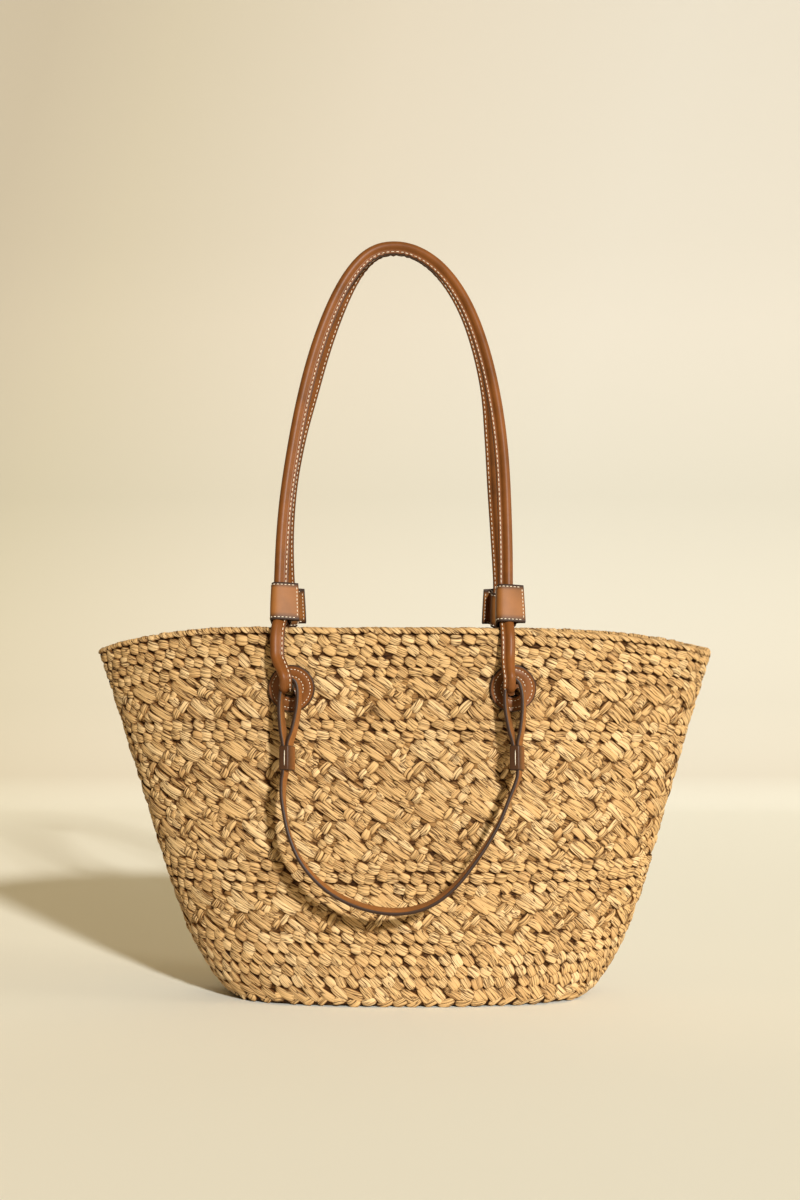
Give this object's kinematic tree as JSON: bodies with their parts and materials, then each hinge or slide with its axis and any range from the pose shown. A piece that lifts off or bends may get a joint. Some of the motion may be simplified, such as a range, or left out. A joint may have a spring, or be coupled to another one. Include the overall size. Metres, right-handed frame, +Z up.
{
  "type": "beach bag",
  "caption": "Woven straw beach bag with two long rolled leather shoulder handles and a short leather carry strap on each face.",
  "frame": {"origin": "middle of the base, on the surface that the bag stands on", "axes": "+X along the bag's length, +Y from its front face to its rear face, +Z up"},
  "size_m": [0.5206, 0.2398, 0.6351],
  "materials": {
    "straw": "woven natural raffia, matt with a soft sheen along each strand",
    "strap_leather": "smooth tan leather, satin, rolled edge",
    "patch_leather": "smooth tan leather with dark painted edges and pale stitches",
    "slider_leather": "smooth tan leather with dark painted edges and pale stitches",
    "carry_leather": "flat tan leather with dark painted edges",
    "keeper_leather": "flat brown leather with dark painted edges",
    "filler": "twisted cotton cord"
  },
  "bodies": {
    "basket": {"woven_wall": "straw", "woven_base": "straw", "rim_braid": "straw", "front_left_patch": "patch_leather", "front_left_backing": "patch_leather", "front_left_anchor": "strap_leather", "front_right_patch": "patch_leather", "front_right_backing": "patch_leather", "front_right_anchor": "strap_leather", "rear_left_patch": "patch_leather", "rear_left_backing": "patch_leather", "rear_left_anchor": "strap_leather", "rear_right_patch": "patch_leather", "rear_right_backing": "patch_leather", "rear_right_anchor": "strap_leather"},
    "front_handle": {"front_left_slider": "slider_leather", "front_right_slider": "slider_leather", "front_handle": "strap_leather", "front_handle_core": "filler"},
    "rear_handle": {"rear_left_slider": "slider_leather", "rear_right_slider": "slider_leather", "rear_handle": "strap_leather", "rear_handle_core": "filler"},
    "front_carry": {"front_left_keeper": "keeper_leather", "front_right_keeper": "keeper_leather", "front_carry_strap": "carry_leather"},
    "rear_carry": {"rear_left_keeper": "keeper_leather", "rear_right_keeper": "keeper_leather", "rear_carry_strap": "carry_leather"}
  },
  "joints": [
    {"name": "front_handle_swing", "type": "hinge", "parent": "basket", "child": "front_handle", "pos_m": [0, -0.07779, 0.3025], "axis": [1, 0, 0], "range_deg": [0, 103], "deforming": ["front_left_anchor", "front_right_anchor"]},
    {"name": "front_carry_swing", "type": "hinge", "parent": "basket", "child": "front_carry", "pos_m": [0, -0.09246, 0.266], "axis": [-1, 0, 0], "range_deg": [0, 90]},
    {"name": "rear_handle_swing", "type": "hinge", "parent": "basket", "child": "rear_handle", "pos_m": [0, 0.07779, 0.3025], "axis": [-1, 0, 0], "range_deg": [0, 103], "deforming": ["rear_left_anchor", "rear_right_anchor"]},
    {"name": "rear_carry_swing", "type": "hinge", "parent": "basket", "child": "rear_carry", "pos_m": [0, 0.09246, 0.266], "axis": [1, 0, 0], "range_deg": [0, 90]}
  ]
}
